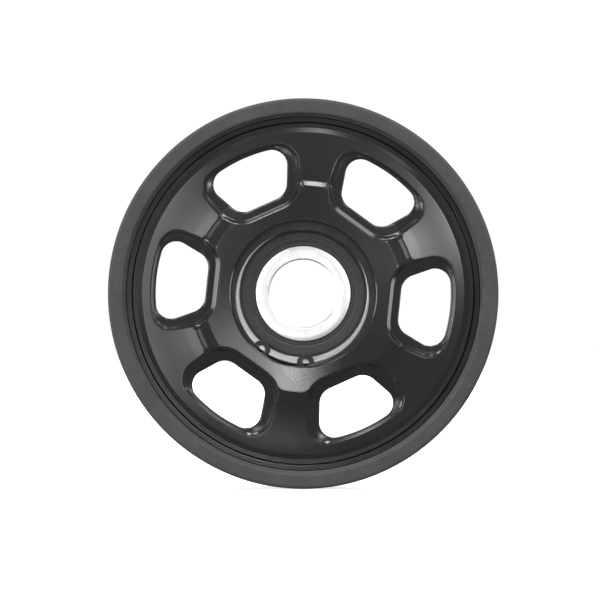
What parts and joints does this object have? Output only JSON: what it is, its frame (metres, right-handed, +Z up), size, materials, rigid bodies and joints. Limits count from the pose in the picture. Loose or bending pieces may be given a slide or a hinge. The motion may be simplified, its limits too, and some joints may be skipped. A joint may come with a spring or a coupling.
{
  "type": "track idler wheel",
  "caption": "Idler wheel for a rubber track: six-window moulded disc with a rubber tyre, turning on a sealed ball bearing held in the hub by a circlip.",
  "frame": {"origin": "centre of the wheel, on its axis, midway between the hub's two end faces", "axes": "+Y along the wheel's axis, from the circlip side to the back; the pictured front faces -Y; +Z up"},
  "size_m": [0.141, 0.022, 0.141],
  "materials": {
    "disc_nylon": "moulded black glass-filled nylon, semi-gloss",
    "tyre_rubber": "matt grey-black rubber",
    "clip_steel": "black phosphated spring steel",
    "bearing_steel": "ground bearing steel",
    "seal_rubber": "matt nitrile rubber",
    "sheet_steel": "pressed sheet steel",
    "ball_steel": "polished chrome steel"
  },
  "bodies": {
    "inner_ring": {"bearing_inner_ring": "bearing_steel"},
    "wheel": {"wheel_disc": "disc_nylon", "tyre": "tyre_rubber", "circlip": "clip_steel", "bearing_outer_ring": "bearing_steel", "seal_front": "seal_rubber", "seal_rear": "seal_rubber", "seal_insert_front": "sheet_steel", "seal_insert_rear": "sheet_steel"},
    "cage": {"cage_front": "sheet_steel", "cage_rear": "sheet_steel", "cage_rivet_1": "sheet_steel", "cage_rivet_2": "sheet_steel", "cage_rivet_3": "sheet_steel", "cage_rivet_4": "sheet_steel", "cage_rivet_5": "sheet_steel", "cage_rivet_6": "sheet_steel", "cage_rivet_7": "sheet_steel", "cage_rivet_8": "sheet_steel", "cage_rivet_9": "sheet_steel"},
    "ball_1": {"ball_1": "ball_steel"},
    "ball_2": {"ball_2": "ball_steel"},
    "ball_3": {"ball_3": "ball_steel"},
    "ball_4": {"ball_4": "ball_steel"},
    "ball_5": {"ball_5": "ball_steel"},
    "ball_6": {"ball_6": "ball_steel"},
    "ball_7": {"ball_7": "ball_steel"},
    "ball_8": {"ball_8": "ball_steel"},
    "ball_9": {"ball_9": "ball_steel"}
  },
  "joints": [
    {"name": "wheel_spin", "type": "hinge", "parent": "inner_ring", "child": "wheel", "pos_m": [0, 0, 0], "axis": [0, 1, 0], "continuous": true},
    {"name": "cage_spin", "type": "hinge", "parent": "inner_ring", "child": "cage", "pos_m": [0, 0, 0], "axis": [0, 1, 0], "continuous": true},
    {"name": "ball_1_roll", "type": "hinge", "parent": "cage", "child": "ball_1", "pos_m": [0.00579, 0.001, 0.01836], "axis": [0, 1, 0], "continuous": true},
    {"name": "ball_2_roll", "type": "hinge", "parent": "cage", "child": "ball_2", "pos_m": [-0.00737, 0.001, 0.01778], "axis": [0, 1, 0], "continuous": true},
    {"name": "ball_3_roll", "type": "hinge", "parent": "cage", "child": "ball_3", "pos_m": [-0.01707, 0.001, 0.00889], "axis": [0, 1, 0], "continuous": true},
    {"name": "ball_4_roll", "type": "hinge", "parent": "cage", "child": "ball_4", "pos_m": [-0.01879, 0.001, -0.00417], "axis": [0, 1, 0], "continuous": true},
    {"name": "ball_5_roll", "type": "hinge", "parent": "cage", "child": "ball_5", "pos_m": [-0.01172, 0.001, -0.01527], "axis": [0, 1, 0], "continuous": true},
    {"name": "ball_6_roll", "type": "hinge", "parent": "cage", "child": "ball_6", "pos_m": [0.00084, 0.001, -0.01923], "axis": [0, 1, 0], "continuous": true},
    {"name": "ball_7_roll", "type": "hinge", "parent": "cage", "child": "ball_7", "pos_m": [0.01301, 0.001, -0.01419], "axis": [0, 1, 0], "continuous": true},
    {"name": "ball_8_roll", "type": "hinge", "parent": "cage", "child": "ball_8", "pos_m": [0.01909, 0.001, -0.00251], "axis": [0, 1, 0], "continuous": true},
    {"name": "ball_9_roll", "type": "hinge", "parent": "cage", "child": "ball_9", "pos_m": [0.01624, 0.001, 0.01034], "axis": [0, 1, 0], "continuous": true}
  ],
  "couplings": [
    {"joint": "cage_spin", "follows": "wheel_spin", "ratio": 0.60309},
    {"joint": "ball_1_roll", "follows": "wheel_spin", "ratio": 2.322},
    {"joint": "ball_2_roll", "follows": "wheel_spin", "ratio": 2.322},
    {"joint": "ball_3_roll", "follows": "wheel_spin", "ratio": 2.322},
    {"joint": "ball_4_roll", "follows": "wheel_spin", "ratio": 2.322},
    {"joint": "ball_5_roll", "follows": "wheel_spin", "ratio": 2.322},
    {"joint": "ball_6_roll", "follows": "wheel_spin", "ratio": 2.322},
    {"joint": "ball_7_roll", "follows": "wheel_spin", "ratio": 2.322},
    {"joint": "ball_8_roll", "follows": "wheel_spin", "ratio": 2.322},
    {"joint": "ball_9_roll", "follows": "wheel_spin", "ratio": 2.322}
  ]
}
